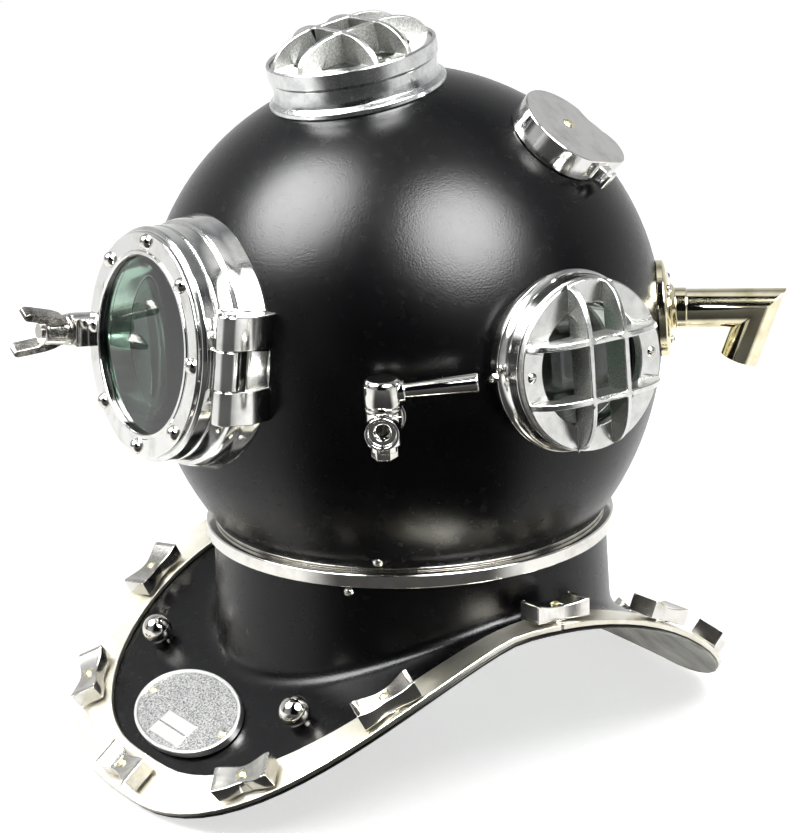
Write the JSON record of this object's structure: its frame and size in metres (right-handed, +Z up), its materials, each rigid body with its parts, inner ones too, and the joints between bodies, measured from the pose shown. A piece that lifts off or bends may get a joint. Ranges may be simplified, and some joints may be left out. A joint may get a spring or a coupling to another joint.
{
  "type": "diving helmet",
  "caption": "Deep-sea diving helmet: domed bonnet with hinged front window, barred side and top windows, goosenecks and spitcock, locked on a breastplate with brails",
  "frame": {"origin": "on the neck axis, at the plane where the bonnet ring meets the neck ring", "axes": "+Z up along the neck axis, -Y the way the front window looks, +X the diver's left"},
  "size_m": [0.418, 0.4269, 0.4606],
  "materials": {
    "black_paint": "satin black paint with a fine orange-peel texture over copper",
    "polished_nickel": "polished nickel plate on cast brass, with fine handling marks",
    "nickel_fittings": "polished nickel plate, slightly worn on the edges",
    "warm_nickel": "brushed nickel plate with a warm cast",
    "pale_gold": "thin, pale gold nickel plate over brass",
    "aluminium": "smooth satin metal",
    "brass": "bare satin brass",
    "window_glass": "thick clear glass with a green tint",
    "black_rubber": "matt",
    "leather": "oiled"
  },
  "bodies": {
    "breastplate": {"breastplate": "black_paint", "neck_ring": "polished_nickel", "neck_gasket": "leather", "brail_front_left": "warm_nickel", "brail_front_right": "warm_nickel", "brail_back_left": "warm_nickel", "brail_back_right": "warm_nickel", "brail_studs": "nickel_fittings", "brail_nuts": "nickel_fittings", "brail_nut_screws": "brass", "ball_studs": "nickel_fittings", "oval_plate": "aluminium", "oval_plate_screws": "brass", "neck_screw": "nickel_fittings", "lock_bracket": "nickel_fittings"},
    "bonnet": {"bonnet_shell": "black_paint", "bonnet_ring": "polished_nickel", "front_seat": "polished_nickel", "left_port_seat": "polished_nickel", "right_port_seat": "polished_nickel", "telephone_cup": "polished_nickel", "spitcock_body": "polished_nickel", "exhaust_body": "polished_nickel", "bonnet_screw": "nickel_fittings", "hinge_pin": "nickel_fittings", "port_screws": "nickel_fittings", "gooseneck_screws": "nickel_fittings", "exhaust_screws": "nickel_fittings", "air_gooseneck": "pale_gold", "telephone_gooseneck": "pale_gold", "top_port_seat": "aluminium", "left_port_guard": "aluminium", "right_port_guard": "aluminium", "top_port_guard": "aluminium", "telephone_screw": "brass", "inlet_valve_seat": "brass", "inlet_valve_spring": "brass", "exhaust_spring": "brass", "left_port_glass": "window_glass", "right_port_glass": "window_glass", "top_port_glass": "window_glass", "left_port_gaskets": "black_rubber", "right_port_gaskets": "black_rubber", "top_port_gaskets": "black_rubber", "telephone_receiver": "black_rubber"},
    "door": {"door_frame": "polished_nickel", "door_gasket": "black_rubber", "front_glass": "window_glass", "front_glass_gasket": "black_rubber", "front_bezel": "polished_nickel", "bezel_screws": "nickel_fittings"},
    "wing_screw": {"latch_screw": "nickel_fittings", "latch_wing_nut": "nickel_fittings"},
    "spitcock_plug": {"spitcock_plug": "nickel_fittings"},
    "exhaust_wheel": {"exhaust_wheel": "nickel_fittings"},
    "chin_button": {"exhaust_chin_button": "brass"},
    "inlet_valve": {"inlet_valve_disc": "brass"},
    "lock_lever": {"lock_lever": "nickel_fittings"}
  },
  "joints": [
    {"name": "bonnet_turn", "type": "hinge", "parent": "breastplate", "child": "bonnet", "pos_m": [0, 0, 0], "axis": [0, 0, 1], "range_deg": [0, 45]},
    {"name": "door_swing", "type": "hinge", "parent": "bonnet", "child": "door", "pos_m": [0.0755, -0.17099, 0.13789], "axis": [0, 0.1184, 0.993], "range_deg": [0, 120]},
    {"name": "wing_screw_turn", "type": "hinge", "parent": "door", "child": "wing_screw", "pos_m": [-0.079, -0.19891, 0.13518], "axis": [0, -0.993, 0.1184], "continuous": true},
    {"name": "spitcock_turn", "type": "hinge", "parent": "bonnet", "child": "spitcock_plug", "pos_m": [0.14623, -0.111, 0.10868], "axis": [-0.0382, 0.029, -0.9988], "range_deg": [0, 90]},
    {"name": "exhaust_wheel_turn", "type": "hinge", "parent": "bonnet", "child": "exhaust_wheel", "pos_m": [-0.15456, 0.08218, 0.04677], "axis": [-0.8187, 0.4353, -0.3746], "range_deg": [0, 540]},
    {"name": "chin_button_push", "type": "slide", "parent": "bonnet", "child": "chin_button", "axis": [-0.8187, 0.4353, -0.3746], "range_m": [0, 0.004], "stiffness_N_per_m": 600, "springref_m": -0.003, "deforming": ["exhaust_spring"]},
    {"name": "inlet_valve_slide", "type": "slide", "parent": "bonnet", "child": "inlet_valve", "axis": [-0.6157, -0.788, 0.0035], "range_m": [0, 0.0035], "stiffness_N_per_m": 120, "springref_m": -0.001, "deforming": ["inlet_valve_spring"]},
    {"name": "lock_lever_fold", "type": "hinge", "parent": "breastplate", "child": "lock_lever", "pos_m": [-0.0092, 0.137, -0.0046], "axis": [1, 0, 0], "range_deg": [0, 90]}
  ]
}
